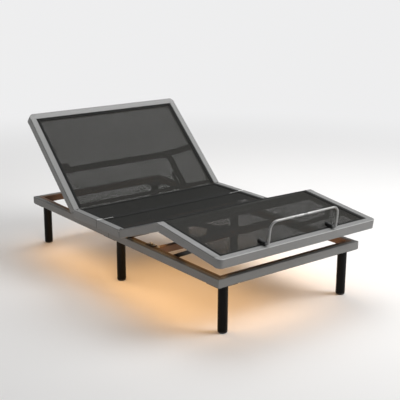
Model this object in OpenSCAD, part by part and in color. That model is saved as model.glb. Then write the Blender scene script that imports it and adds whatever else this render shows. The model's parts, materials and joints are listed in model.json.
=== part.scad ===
/* [Deck] */
// Overall width of the mattress deck
deck_w = 1070; // [900:10:1400]
// Height of the deck's top face above the floor when flat
deck_top = 360; // [340:5:420]
// Length of the head section
head_len = 700; // [600:10:800]
// Length of the fixed seat section
seat_len = 472; // [420:4:520]
// Length of the thigh section
thigh_len = 370; // [320:10:420]
// Length of the calf section
calf_len = 490; // [420:2:540]
// Width of a deck rail, seen from above
rail_w = 38; // [34:1:42]
// Depth of a deck rail
rail_h = 46; // [42:1:50]

/* [Stored pose] */
// Angle of the head section above flat
head_rest = 43.4; // [0:0.1:60]
// Angle of the thigh section above flat
thigh_rest = 20; // [0:0.5:30]
// Slope of the calf section, down towards the foot end
calf_rest = 7.1; // [0:0.1:10]

/* [Base frame] */
// Width of the base frame
base_w = 964; // [900:2:1000]
// Length of the base frame
base_len = 1840; // [1700:10:1900]
// Width of a base rail
base_rail_w = 25; // [20:1:30]
// Depth of a base rail
base_rail_h = 43; // [38:1:50]
// Height of the base rails' top face
base_top = 300; // [280:2:310]
// Diameter of a leg
leg_d = 50; // [40:2:60]

/* [Lift mechanism] */
// Length of the head lift arm, from the torque tube to its roller
arm_len = 290; // [270:5:310]
// Diameter of the torque tube
tube_d = 32; // [25:1:38]
// Length of the crank that the head motor pushes
crank_len = 85; // [75:5:95]

/* [Retainer] */
// Height of the mattress retainer bar above the deck
retainer_h = 136; // [80:2:160]
// Width of the retainer bar, between its legs' centres
retainer_w = 460; // [300:2:600]
// Diameter of the retainer bar
retainer_d = 12; // [12:1:18]

/* [Hidden] */
$fn = 64;
eps = 0.01;

steel_grey = [0.42, 0.42, 0.42];
ledger_brown = [0.32, 0.22, 0.14];
part_black = [0.08, 0.08, 0.08];
mesh_black = [0.14, 0.14, 0.13];
bright = [0.7, 0.7, 0.68];

// Lengthways positions on the base, measured from the middle of its length
head_hinge_y = 327;
thigh_hinge_y = head_hinge_y - seat_len;
seam_y = 82;
splice_y = 42;
seam_half = 2;

// Hinges sit just under the deck's top face, the knee at the middle of the rail
hinge_drop = 6;
hinge_z = deck_top - hinge_drop;
knee_drop = rail_h / 2;
wall = 2;
edge_r = 3;
rail_out = deck_w / 2;
rail_in = rail_out - rail_w;
rail_gap = 1;
pin_r = 3;
play = 0.05;
block_r = rail_h - wall - hinge_drop - 0.5;
side_play = 0.4;
block_tail = 26;
ear_cut_r = 7.8;
knee_ear_r = rail_h / 2;
knee_cut_r = 25;
knee_neck = 27;

// Cross rails of the deck and the woven panels between the rails
cross_w = 30;
cross_h = 20;
cross_top = 8;
mesh_t = 3;
mesh_top = 4;
strap_t = 1.5;
strap_half = 6;
strap_end = rail_out - 4;
corner_r = 28;

// Base frame
base_x = base_w / 2;
base_y = base_len / 2;
base_bottom = base_top - base_rail_h;
ledger_w = 20;
ledger_t = 3;
ledger_x = base_x - base_rail_w;
ledger_in = ledger_x - ledger_w;
splice_x = ledger_x - ledger_t - 4;
led_t = 4;
led_w = 10;
led_x = base_x - base_rail_w / 2;
led_end_y = base_y - 120;
led_row_y = base_y - base_rail_w / 2;
member_h = 38;
member_w = 30;
member_top = base_top - ledger_t;
foot_member_y = -345;
mid_member_y = 90;
lift_member_y = 175;
leg_x = base_x - 68;
leg_end_y = base_y - 50;
leg_mid_y = 24;
plate_t = 4;
glide_h = 9;

// Head lift: torque tube, arm with a roller under the rib, crank and motor
arm_x = 300;
crank_x = 120;
torque_y = head_hinge_y - 104;
torque_z = hinge_z - 69;
roller_r = 14;
roller_pin_r = 5;
arm_rest = 28.35;
arm_flat = 2.96;
arm_bar = 24;
arm_half = 17;
arm_t = 5;
arm_bend = [105, -56];
crank_flat = -95;
crank_rest = crank_flat + arm_rest - arm_flat;
crank_tip = [torque_y + crank_len * cos(crank_rest), torque_z + crank_len * sin(crank_rest)];
open_play = 4;
bar_inset = 0.1;
drive_pin_r = 6;
fork_len = 38;
fork_r = 13;
motor_pin_r = 6;
head_anchor = [foot_member_y + 34, 264];
leg_x_motor = -120;
leg_anchor = [mid_member_y - 34, 282];
lug_arm = [-20, -88];
bow_s = 316;
bow_half = 14;
bow_kink_x = 280;
bow_drop = 74;
bow_end_drop = 34;
low_rail_s = 20;
low_rail_w = 18;
low_rail_h = 14;
rib_top = 26;
rib_h = 18;

// Stay links between the base and the calf section
stay_x = 425;
stay_t = 8;
stay_w = 22;
stay_pin_r = 5;
stay_foot = [-480, 280];
stay_head_s = 235;
stay_head_drop = 61;

// Points on a rotated arm, in the plane of Y and Z
function turn(p, a) = [p[0] * cos(a) - p[1] * sin(a), p[0] * sin(a) + p[1] * cos(a)];
thigh_hinge = [thigh_hinge_y, hinge_z];
knee = thigh_hinge + turn([-thigh_len, hinge_drop - knee_drop], -thigh_rest);
lug_tip = thigh_hinge + turn(lug_arm, -thigh_rest);
stay_head = knee + turn([-stay_head_s, knee_drop - stay_head_drop], calf_rest);

// Retainer bar, and the shift that puts the origin under the middle of the stored bed
bar_r = retainer_d / 2;
bar_s = calf_len - 8;
sleeve_s = calf_len - 76;
sleeve_len = 50;
sleeve_up = 11;
bar_low_bend = 14;
bar_top_bend = 40;
bar_up = retainer_h - bar_r;
bar_tip = knee + turn([-bar_s, knee_drop + bar_up], calf_rest);
shift_y = -(base_y + bar_tip[0] - bar_r) / 2;

// ---- Frames of reference ----
module at_base() translate([0, shift_y, 0]) children();

module at_head() at_base() translate([0, head_hinge_y, hinge_z])
    rotate([head_rest, 0, 0]) translate([0, 0, hinge_drop]) children();

module at_thigh() at_base() translate([0, thigh_hinge_y, hinge_z])
    rotate([-thigh_rest, 0, 0]) translate([0, 0, hinge_drop]) children();

module at_calf() at_base() translate([0, knee[0], knee[1]])
    rotate([calf_rest, 0, 0]) translate([0, 0, knee_drop]) children();

module both_sides() {
    children();
    mirror([1, 0, 0]) children();
}

module side(s) mirror([s < 0 ? 1 : 0, 0, 0]) children();

// A flat outline in Y and Z, made thick along X from x0 to x1
module across(x0, x1) translate([x0, 0, 0]) rotate([90, 0, 90]) linear_extrude(x1 - x0) children();

module box(x, y, z) translate([x[0], y[0], z[0]]) cube([x[1] - x[0], y[1] - y[0], z[1] - z[0]]);

module rod_x(x0, x1, y, z, r) translate([x0, y, z]) rotate([0, 90, 0]) cylinder(r = r, h = x1 - x0);

// Rounded rectangle with its lower left corner at the origin
module round_rect(w, h, r) {
    translate([r, 0]) square([w - 2 * r, h]);
    translate([0, r]) square([w, h - 2 * r]);
    for (x = [r, w - r], y = [r, h - r]) translate([x, y]) circle(r);
}

// Square steel tube along Y with rounded edges
module tube_y(x, y, z, t) translate([x[0], y[1], z[0]]) rotate([90, 0, 0])
    linear_extrude(y[1] - y[0]) difference() {
        round_rect(x[1] - x[0], z[1] - z[0], edge_r);
        translate([t, t]) square([x[1] - x[0] - 2 * t, z[1] - z[0] - 2 * t]);
    }

// The same tube along X
module tube_x(x, y, z, t, r = edge_r) translate([x[0], y[0], z[0]]) rotate([90, 0, 90])
    linear_extrude(x[1] - x[0]) difference() {
        round_rect(y[1] - y[0], z[1] - z[0], r);
        translate([t, t]) square([y[1] - y[0] - 2 * t, z[1] - z[0] - 2 * t]);
    }

// A flat bar with round ends between two points
module link_2d(p, q, w) {
    translate(p) circle(d = w);
    translate(q) circle(d = w);
    translate(p) rotate(atan2(q[1] - p[1], q[0] - p[0])) translate([0, bar_inset - w / 2])
        square([norm(q - p), w - 2 * bar_inset]);
}

// ---- Base frame ----
module base_side_rail(s, y) color(steel_grey) at_base() side(s) {
    tube_y([ledger_x, base_x], y, [base_bottom, base_top], wall);
    cap = abs(y[0]) > abs(y[1]) ? [y[0], y[0] + wall] : [y[1] - wall, y[1]];
    box([ledger_x + wall - eps, base_x - wall + eps], cap, [base_bottom + wall - eps, base_top - wall + eps]);
}

module base_end_rail(y0) color(steel_grey) at_base()
    tube_x([-ledger_x, ledger_x], [y0, y0 + base_rail_w], [base_bottom, base_top], wall);

module base_rail_left_head() base_side_rail(-1, [splice_y + seam_half, base_y]);
module base_rail_left_foot() base_side_rail(-1, [-base_y, splice_y - seam_half]);
module base_rail_right_head() base_side_rail(1, [splice_y + seam_half, base_y]);
module base_rail_right_foot() base_side_rail(1, [-base_y, splice_y - seam_half]);
module base_rail_head_end() base_end_rail(base_y - base_rail_w);
module base_rail_foot_end() base_end_rail(-base_y);

// Angle strip: a vertical leg against the rail and a top flange level with the rail
module ledger_profile() {
    translate([-ledger_t, -base_rail_h]) square([ledger_t, base_rail_h]);
    translate([-ledger_w, -ledger_t]) square([ledger_w, ledger_t]);
}

module ledgers() color(ledger_brown) at_base() {
    end_y = base_y - base_rail_w;
    both_sides() for (y = [[-end_y, splice_y - seam_half], [splice_y + seam_half, end_y]])
        translate([ledger_x, y[1], base_top]) rotate([90, 0, 0]) linear_extrude(y[1] - y[0])
            ledger_profile();
    end_reach = ledger_in - 0.5;
    for (m = [0, 1]) mirror([0, m, 0]) translate([-end_reach, end_y, base_top])
        rotate([90, 0, 90]) linear_extrude(2 * end_reach) ledger_profile();
}

module cross_members() color(ledger_brown) at_base() {
    reach = ledger_x - ledger_t;
    for (y = [foot_member_y, mid_member_y, lift_member_y])
        tube_x([-reach, reach], [y - member_w / 2, y + member_w / 2],
            [member_top - member_h, member_top], wall);
}

module splice_plates() color(part_black) at_base() both_sides() difference() {
    box([splice_x, ledger_x - ledger_t], [splice_y - 50, splice_y + 28],
        [base_bottom + 4, base_top - ledger_t - 4]);
    for (y = [-38, 16]) rod_x(ledger_x - 20, ledger_x, splice_y + y, base_bottom + 18, 3.2);
}

module leg_plates() color(part_black) at_base() both_sides() {
    for (m = [0, 1]) mirror([0, m, 0]) translate([0, 0, base_bottom - plate_t])
        linear_extrude(plate_t) polygon([[base_x - 4, base_y - 4], [base_x - 122, base_y - 4],
            [base_x - 122, base_y - 60], [base_x - 88, base_y - 100], [base_x - 4, base_y - 100]]);
    box([leg_x - 34, base_x - 4], [leg_mid_y - 36, mid_member_y + 12],
        [base_bottom - plate_t, base_bottom]);
    box([ledger_in - 14, ledger_x - 3], [foot_member_y + 4, foot_member_y + 68],
        [base_top, base_top + 3]);
}

module leg_at(s, y) color(part_black) at_base() translate([s * leg_x, y, glide_h]) difference() {
    leg_len = base_bottom - plate_t - glide_h;
    cylinder(d = leg_d, h = leg_len);
    translate([0, 0, -1]) cylinder(d = leg_d - 5, h = leg_len - 5);
}

module leg_left_head() leg_at(-1, leg_end_y);
module leg_left_mid() leg_at(-1, leg_mid_y);
module leg_left_foot() leg_at(-1, -leg_end_y);
module leg_right_head() leg_at(1, leg_end_y);
module leg_right_mid() leg_at(1, leg_mid_y);
module leg_right_foot() leg_at(1, -leg_end_y);

// Round glide: a flat pad that narrows to a rounded lower edge
module leg_glides() color(part_black) at_base() for (s = [-1, 1], y = [-leg_end_y, leg_mid_y, leg_end_y])
    translate([s * leg_x, y, 0]) rotate_extrude() {
        square([leg_d / 2 - 6, glide_h]);
        translate([0, 5]) square([leg_d / 2 - 1, glide_h - 5]);
        intersection() {
            translate([leg_d / 2 - 6, 5]) circle(5);
            square([leg_d, glide_h]);
        }
    }

module bolt_down(x, y, z) translate([x, y, z]) {
    cylinder(r = 9, h = 1.5);
    translate([0, 0, 1.5]) cylinder(r = 6.5, h = 4);
}

// Heads of the bolts that hold the plates, the splice and the lift hardware
module frame_bolts() color(bright) at_base() both_sides() {
    for (y = [-38, 16])
        rod_x(splice_x - 5, splice_x, splice_y + y, base_bottom + 18, 6.5);
    for (y = [foot_member_y + 18, foot_member_y + 54]) bolt_down(ledger_in - 4, y, base_top + 3);
    bolt_down(ledger_in - 12, foot_member_y - 4, member_top);
    for (y = [mid_member_y, lift_member_y]) bolt_down(ledger_in - 14, y, member_top);
    for (m = [0, 1]) mirror([0, m, 0]) for (p = [[base_x - 16, base_y - 84], [base_x - 104, base_y - 20]])
        translate([p[0], p[1], base_bottom - plate_t]) mirror([0, 0, 1]) bolt_down(0, 0, 0);
    for (y = [leg_mid_y - 24, mid_member_y - 4]) translate([base_x - 16, y, base_bottom - plate_t])
        mirror([0, 0, 1]) bolt_down(0, 0, 0);
}

// Light strips on the underside of the base rails, between the leg plates
module led_strips() color([1, 0.7, 0.3]) at_base() {
    z = [base_bottom - led_t, base_bottom];
    both_sides() for (y = [[-led_end_y, leg_mid_y - 54], [mid_member_y + 30, led_end_y]])
        box([led_x - led_w / 2, led_x + led_w / 2], y, z);
    for (m = [0, 1]) mirror([0, m, 0])
        box([140 - base_x, base_x - 140], [led_row_y - led_w / 2, led_row_y + led_w / 2], z);
}

// Control box under the seat, with a socket for the mains lead and one for each motor
module control_box() color(part_black) at_base() difference() {
    box([-340, -180], [mid_member_y - 10, lift_member_y + 12], [214, member_top - member_h]);
    box([-330, -300], [mid_member_y - 11, mid_member_y + 4], [224, 246]);
    for (x = [-270, -235, -200]) translate([x, mid_member_y - 11, 235]) rotate([-90, 0, 0])
        cylinder(r = 7, h = 13);
}

// Two ears with a pin, standing off a cross member, for one motor's fixed end
module motor_bracket(x, member_y, anchor, toward) difference() {
    union() {
        box([x - 26, x + 26], toward > 0 ? [member_y + member_w / 2, member_y + member_w / 2 + 4]
            : [member_y - member_w / 2 - 4, member_y - member_w / 2], [member_top - member_h, member_top]);
        for (e = [-21, 15]) across(x + e, x + e + 6) difference() {
            link_2d([member_y + toward * (member_w / 2 + 2), anchor[1]], anchor, 24);
            translate([member_y - member_w / 2, 0]) square([member_w, 400]);
        }
        rod_x(x - 24, x + 24, anchor[0], anchor[1], motor_pin_r);
    }
}

module motor_brackets() color(part_black) at_base() {
    motor_bracket(crank_x, foot_member_y, head_anchor, 1);
    motor_bracket(leg_x_motor, mid_member_y, leg_anchor, -1);
}

module lift_bearings() color(part_black) at_base() for (x = [[60, 68], [336, 344]])
    across(x[0], x[1]) difference() {
        union() {
            link_2d([lift_member_y + member_w / 2 + 12, torque_z - 4], [torque_y, torque_z], 44);
            translate([lift_member_y + member_w / 2, member_top - member_h]) square([22, member_h]);
        }
        translate([lift_member_y - member_w, 0]) square([member_w * 1.5, 400]);
        translate([torque_y, torque_z]) circle(tube_d / 2 + play);
    }

module stay_anchors() color(part_black) at_base() both_sides() {
    plate_x = stay_x + stay_t / 2 + 1;
    box([plate_x, ledger_x - ledger_t], [stay_foot[0] - 26, stay_foot[0] + 26],
        [base_bottom + 16, base_top - ledger_t - 1]);
    across(plate_x, plate_x + 5) link_2d([stay_foot[0], base_top - 24], stay_foot, 24);
    rod_x(stay_x - stay_t / 2 - 2, plate_x + eps, stay_foot[0], stay_foot[1], stay_pin_r);
    rod_x(stay_x - stay_t / 2 - 5, stay_x - stay_t / 2 - 1, stay_foot[0], stay_foot[1], 9);
}

// Shallow tube between the side rails; its top is cross_top under the deck's top plane
module cross_rail()
    tube_x([-rail_in, rail_in], [0, cross_w], [-cross_top - cross_h, -cross_top], wall, 2);

// ---- Seat, fixed to the base ----
module seat_rail(y, hinge_y) difference() {
    tube_y([rail_in, rail_out], y, [deck_top - rail_h, deck_top], wall);
    rod_x(rail_in - 1, rail_out + 1, hinge_y, hinge_z, ear_cut_r);
    box([rail_in - 1, strap_end], [seam_y - strap_half, seam_y + strap_half],
        [deck_top - strap_t, deck_top + 1]);
}

module seat_rails_head() color(steel_grey) at_base() both_sides()
    seat_rail([seam_y + seam_half, head_hinge_y - rail_gap], head_hinge_y);

module seat_rails_foot() color(steel_grey) at_base() both_sides()
    seat_rail([thigh_hinge_y + rail_gap, seam_y - seam_half], thigh_hinge_y);

module seat_cross_rails() color(steel_grey) at_base()
    for (y = [thigh_hinge_y + 4, seam_y - 31, seam_y + 1, head_hinge_y - 34])
        translate([0, y, deck_top]) cross_rail();

module seat_spacers() color(part_black) at_base() both_sides()
    for (y = [thigh_hinge_y + 4, seam_y - 31, head_hinge_y - 34])
        box([ledger_in + 2, ledger_x], [y, y + cross_w], [base_top, deck_top - cross_top - cross_h]);

module mesh_panel(y) box([-rail_in, rail_in], y, [-mesh_top - mesh_t, -mesh_top]);

module seat_mesh_head() color(mesh_black) at_base() translate([0, 0, deck_top])
    mesh_panel([seam_y + 1, head_hinge_y - 2]);

module seat_mesh_foot() color(mesh_black) at_base() translate([0, 0, deck_top])
    mesh_panel([thigh_hinge_y + 2, seam_y - 1]);

// Thin bright strap over the seat joint at each side, let in level with the rail's top face
module seam_leaves() color(bright) at_base() both_sides() {
    y = [seam_y - strap_half, seam_y + strap_half];
    low = deck_top - mesh_top;
    box([rail_in - 74, rail_in], y, [low, low + strap_t]);
    box([rail_in - strap_t, rail_in], y, [low, deck_top]);
    box([rail_in - strap_t, strap_end], y, [deck_top - strap_t, deck_top]);
}

// Steel block inside the rail ends, which fills the wedge that opens as a section rises
module hinge_block(y, out) translate([0, y, hinge_z]) mirror([0, out > 0 ? 0 : 1, 0]) difference() {
    across(rail_in + wall + side_play, rail_out - wall - side_play) {
        intersection() {
            circle(block_r);
            translate([-eps, -block_r]) square([block_r, block_r + 3]);
        }
        translate([-block_tail, -block_r]) square([block_tail, block_r + 3]);
    }
    rod_x(rail_in, rail_out, 0, 0, pin_r + play);
}

module hinge_blocks() color(steel_grey) at_base() both_sides() {
    hinge_block(head_hinge_y, 1);
    hinge_block(thigh_hinge_y, -1);
}

module hinge_pins() color(bright) at_base() both_sides() for (y = [head_hinge_y, thigh_hinge_y])
    rod_x(rail_in + 0.5, rail_out - 0.5, y, hinge_z, pin_r);

// ---- Head section ----
// Rail with two cheeks that reach the hinge pin; it runs along +Y from the hinge
module hinged_rail(len) difference() {
    union() {
        tube_y([rail_in, rail_out], [rail_gap, len], [-rail_h, 0], wall);
        for (x = [rail_in, rail_out - wall]) rod_x(x, x + wall, 0, -hinge_drop, hinge_drop);
    }
    box([rail_in + wall, rail_out - wall], [-8, 3.5], [wall - rail_h, 1]);
    rod_x(rail_in - 1, rail_out + 1, 0, -hinge_drop, pin_r + play);
}

// End rail across the deck with two rounded outer corners, hollow and open to the side rails
module end_rail() difference() {
    linear_extrude(rail_h) {
        translate([-rail_out, 0]) square([deck_w, rail_w - corner_r]);
        translate([corner_r - rail_out, 0]) square([deck_w - 2 * corner_r, rail_w]);
        intersection() {
            for (s = [-1, 1]) translate([s * (rail_out - corner_r), rail_w - corner_r]) circle(corner_r);
            translate([-rail_out, 0]) square([deck_w, rail_w]);
        }
    }
    box([corner_r - rail_out, rail_out - corner_r], [wall, rail_w - wall], [wall, rail_h - wall]);
    both_sides() box([rail_in + wall, rail_out - corner_r + eps], [-1, wall + eps], [wall, rail_h - wall]);
}

module head_rail_left() color(steel_grey) at_head() side(-1) hinged_rail(head_len - rail_w);
module head_rail_right() color(steel_grey) at_head() side(1) hinged_rail(head_len - rail_w);
module head_rail_top() color(steel_grey) at_head() translate([0, head_len - rail_w, -rail_h]) end_rail();

module head_rail_bottom() color(steel_grey) at_head()
    tube_x([-rail_in, rail_in], [low_rail_s, low_rail_s + low_rail_w],
        [-cross_top - low_rail_h, -cross_top], wall, 2);

module head_mesh() color(mesh_black) at_head() mesh_panel([2, head_len - rail_w]);

// Brace behind the panel, inside the base rails when flat. On the left it turns up sharply and ends
// in a stub to the rail; on the right it rises from a kink
module head_bow() color(part_black) at_head() {
    s = [bow_s - bow_half, bow_s + bow_half];
    turn_x = -ledger_in + 7;
    turn_t = 14;
    stub_drop = 32;
    stub_half = 12;
    box([turn_x, bow_kink_x], s, [-bow_drop - bow_half, bow_half - bow_drop]);
    box([turn_x, turn_x + turn_t], s, [-bow_drop, stub_half - stub_drop]);
    box([-rail_in, turn_x + turn_t], s, [-stub_drop - stub_half, stub_half - stub_drop]);
    rotate([90, 0, 0]) translate([0, 0, -bow_s - bow_half]) linear_extrude(2 * bow_half)
        polygon([[bow_kink_x, -bow_drop - bow_half], [rail_in, -bow_end_drop - bow_half],
            [rail_in, bow_half - bow_end_drop], [bow_kink_x, bow_half - bow_drop]]);
}

// Flat bar under the panel that the lift roller runs on
module lift_rib() color(part_black) at_head() {
    rib_s = [low_rail_s + low_rail_w, bow_s - bow_half];
    half = 16;
    difference() {
        box([arm_x - half, arm_x + half], rib_s, [-rib_top - rib_h, -rib_top]);
        box([arm_x - half + 4, arm_x + half - 4], [rib_s[0] + 5, rib_s[1] + 1], [-rib_top - 12, 1 - rib_top]);
    }
    box([arm_x - half, arm_x + half], [rib_s[0], rib_s[0] + 5], [-rib_top, -cross_top - low_rail_h + 4]);
    box([arm_x - half, arm_x + half], [rib_s[1] - 6, rib_s[1]], [-bow_drop - 10, -rib_top]);
}

// ---- Head lift ----
module torque_tube() color(part_black) at_base() {
    difference() {
        rod_x(52, 352, torque_y, torque_z, tube_d / 2);
        rod_x(51, 353, torque_y, torque_z, tube_d / 2 - 3);
    }
    across(crank_x - 5, crank_x + 5) difference() {
        link_2d([torque_y, torque_z], crank_tip, 32);
        translate([torque_y, torque_z]) circle(tube_d / 2 - eps);
        translate(crank_tip) circle(drive_pin_r + open_play);
    }
}

module lift_arm() color(part_black) at_base() translate([0, torque_y, torque_z]) rotate([arm_rest, 0, 0]) {
    for (x = [arm_x - arm_half - arm_t, arm_x + arm_half]) across(x, x + arm_t) difference() {
        union() {
            link_2d([0, 0], arm_bend, arm_bar);
            link_2d(arm_bend, [arm_len, 0], arm_bar);
            circle(tube_d / 2 + 6);
        }
        circle(tube_d / 2);
    }
    rod_x(arm_x - arm_half - arm_t - 3, arm_x + arm_half + arm_t + 3, arm_len, 0, roller_pin_r);
    box([arm_x - arm_half - eps, arm_x + arm_half + eps], [arm_bend[0] + 30, arm_bend[0] + 50], [-60, -48]);
}

module lift_roller() color([0.2, 0.2, 0.2]) at_base() translate([0, torque_y, torque_z])
    rotate([arm_rest, 0, 0]) difference() {
        rod_x(arm_x - 12, arm_x + 12, arm_len, 0, roller_r);
        rod_x(arm_x - 13, arm_x + 13, arm_len, 0, roller_pin_r + play);
    }

// ---- Motors ----
// Linear actuator along +Y from its fixed pin: gear housing, motor can and outer tube
module actuator(tube_len) difference() {
    union() {
        across(-14, 14) link_2d([0, 0], [30, 0], 26);
        box([-29, 29], [18, 92], [-26, 26]);
        translate([0, 92, 0]) rotate([-90, 0, 0]) cylinder(r = 17, h = tube_len - 92);
        translate([0, 56, -24]) rotate([0, 180, 0]) cylinder(r = 24, h = 12);
        translate([-38, 52, -10]) rotate([-90, 0, 0]) cylinder(r = 22, h = 110);
    }
    rod_x(-16, 16, 0, 0, motor_pin_r + play);
    translate([0, 96, 0]) rotate([-90, 0, 0]) cylinder(r = 10 + play, h = tube_len);
}

// Push rod with a forked end; the fork's pin sits loosely in the driven part's hole
module push_rod(from, to) {
    root = to - fork_len;
    translate([0, from, 0]) rotate([-90, 0, 0]) cylinder(r = 10, h = root + 2 - from);
    box([-12, 12], [root, root + 8], [-fork_r, fork_r]);
    both_sides() across(6, 12) {
        translate([to, 0]) circle(fork_r);
        translate([root, -fork_r]) square([fork_len, 2 * fork_r]);
    }
    rod_x(-15, 15, to, 0, drive_pin_r);
}

module along(from, to) translate([0, from[0], from[1]])
    rotate([atan2(to[1] - from[1], to[0] - from[0]), 0, 0]) children();

head_reach = norm(crank_tip - head_anchor);
leg_reach = norm(lug_tip - leg_anchor);

module head_motor() color(part_black) at_base() translate([crank_x, 0, 0])
    along(head_anchor, crank_tip) actuator(484);

module head_motor_rod() color(bright) at_base() translate([crank_x, 0, 0])
    along(head_anchor, crank_tip) push_rod(320, head_reach);

module leg_motor() color(part_black) at_base() translate([leg_x_motor, 0, 0])
    along(leg_anchor, lug_tip) mirror([0, 0, 1]) actuator(176);

module leg_motor_rod() color(bright) at_base() translate([leg_x_motor, 0, 0])
    along(leg_anchor, lug_tip) push_rod(126, leg_reach);

// ---- Thigh section ----
module thigh_rails() color(steel_grey) at_thigh() mirror([0, 1, 0]) both_sides()
    hinged_rail(thigh_len - knee_neck);

module thigh_cross_rails() color(steel_grey) at_thigh() mirror([0, 1, 0]) {
    for (y = [4, thigh_len - 76]) translate([0, y, 0]) cross_rail();
    across(leg_x_motor - 5, leg_x_motor + 5) difference() {
        link_2d([19, -cross_top - cross_h + 2], [-lug_arm[0], lug_arm[1] - hinge_drop], 32);
        translate([-20, -cross_top - cross_h]) square([80, 60]);
        translate([-lug_arm[0], lug_arm[1] - hinge_drop]) circle(drive_pin_r + open_play);
    }
}

module thigh_mesh() color(mesh_black) at_thigh() mirror([0, 1, 0]) mesh_panel([2, thigh_len - 0.5]);

// Knee ear: a neck welded in the rail end, and half a rail's width of round knuckle.
// Drawn with the knee at the origin and the neck along +Y; lane picks the half that has the knuckle
module knee_ear(lane) {
    mid = (rail_in + rail_out) / 2;
    own = lane > 0 ? [mid + 0.4, rail_out] : [rail_in, mid - 0.4];
    other = lane > 0 ? [rail_in, mid + 0.4] : [mid - 0.4, rail_out];
    difference() {
        union() {
            rod_x(own[0], own[1], 0, 0, knee_ear_r);
            box(own, [0, knee_neck], [-knee_ear_r, knee_ear_r]);
            difference() {
                box(other, [0, knee_neck], [-knee_ear_r, knee_ear_r]);
                rod_x(other[0] - 1, other[1] + (lane > 0 ? 0 : 1), 0, 0, knee_cut_r);
            }
            box([rail_in + wall, rail_out - wall], [knee_neck - eps, knee_neck + 30],
                [wall - knee_ear_r, knee_ear_r - wall]);
        }
        rod_x(rail_in - 1, rail_out + 1, 0, 0, 6 + play);
    }
}

module knee_ears() color(steel_grey) at_base() translate([0, knee[0], knee[1]]) rotate([-thigh_rest, 0, 0])
    both_sides() {
        knee_ear(1);
        rod_x(rail_in + 1, rail_out - 1, 0, 0, 6);
    }

// ---- Calf section ----
module calf_rail(s) color(steel_grey) at_calf() side(s) {
    tube_y([rail_in, rail_out], [rail_w - calf_len, -knee_neck], [-rail_h, 0], wall);
    translate([0, 0, -knee_drop]) mirror([0, 1, 0]) knee_ear(-1);
}

module calf_rail_left() calf_rail(-1);
module calf_rail_right() calf_rail(1);
module foot_rail() color(steel_grey) at_calf() mirror([0, 1, 0])
    translate([0, calf_len - rail_w, -rail_h]) end_rail();

module calf_cross_rail() color(steel_grey) at_calf() translate([0, -62, 0]) cross_rail();

module calf_mesh() color(mesh_black) at_calf() mesh_panel([rail_w - calf_len, -0.5]);

// Shelf under the panel's edge with a lug for the stay link
module calf_brackets() color(part_black) at_calf() both_sides() {
    lug_x = stay_x + stay_t / 2 + 1;
    box([lug_x, rail_in], [-stay_head_s - 26, -stay_head_s + 26], [-cross_top - 5, -cross_top]);
    across(lug_x, lug_x + 5) {
        translate([-stay_head_s, -stay_head_drop]) circle(16);
        translate([-stay_head_s - 16, -stay_head_drop]) square([32, stay_head_drop - cross_top]);
    }
    box([rail_in - 4, rail_in], [-stay_head_s - 26, -stay_head_s + 26], [-36, -cross_top]);
    rod_x(stay_x - stay_t / 2 - 2, lug_x + eps, -stay_head_s, -stay_head_drop, stay_pin_r);
    rod_x(stay_x - stay_t / 2 - 5, stay_x - stay_t / 2 - 1, -stay_head_s, -stay_head_drop, 9 + open_play);
}

// Flat stay link; its upper hole is wide, so that the calf lug's pin has room
module stay(s) color(part_black) at_base() side(s)
    across(stay_x - stay_t / 2, stay_x + stay_t / 2) difference() {
        union() {
            link_2d(stay_foot, stay_head, stay_w);
            translate(stay_head) circle(stay_w / 2 + 2);
        }
        translate(stay_foot) circle(stay_pin_r + play);
        translate(stay_head) circle(stay_pin_r + open_play);
    }

module stay_left() stay(-1);
module stay_right() stay(1);

// ---- Mattress retainer ----
module sleeve_part(y0, y1, r) translate([0, -y0, 0]) rotate([90, 0, 0]) cylinder(r = r, h = y1 - y0);

module retainer_sleeves() color(part_black) at_calf() for (s = [-1, 1])
    translate([s * retainer_w / 2, 0, sleeve_up]) difference() {
        union() {
            sleeve_part(sleeve_s, sleeve_s + 14, 11);
            sleeve_part(sleeve_s + 14, sleeve_s + sleeve_len - 10, 9);
            sleeve_part(sleeve_s + sleeve_len - 10, sleeve_s + sleeve_len, 11);
            box([-9, 9], [-sleeve_s - sleeve_len, -sleeve_s], [-sleeve_up, -5]);
        }
        sleeve_part(sleeve_s + 3, sleeve_s + sleeve_len + 1, bar_r + play);
    }

// One leg of the bar: stub in the sleeve, low bend, upright and top bend
module retainer_leg() {
    translate([0, -bar_s + bar_low_bend, sleeve_up]) rotate([-90, 0, 0]) cylinder(r = bar_r, h = 44);
    translate([0, bar_low_bend - bar_s, sleeve_up + bar_low_bend]) rotate([0, -90, 0]) rotate([0, 0, 180])
        rotate_extrude(angle = 90) translate([bar_low_bend, 0]) circle(bar_r);
    translate([0, -bar_s, sleeve_up + bar_low_bend])
        cylinder(r = bar_r, h = bar_up - bar_top_bend - sleeve_up - bar_low_bend);
    translate([-bar_top_bend, -bar_s, bar_up - bar_top_bend]) rotate([90, 0, 0])
        rotate_extrude(angle = 90) translate([bar_top_bend, 0]) circle(bar_r);
}

module retainer_bar() color(bright) at_calf() {
    half = retainer_w / 2;
    both_sides() translate([half, 0, 0]) retainer_leg();
    rod_x(bar_top_bend - half, half - bar_top_bend, -bar_s, bar_up, bar_r);
}

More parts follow.
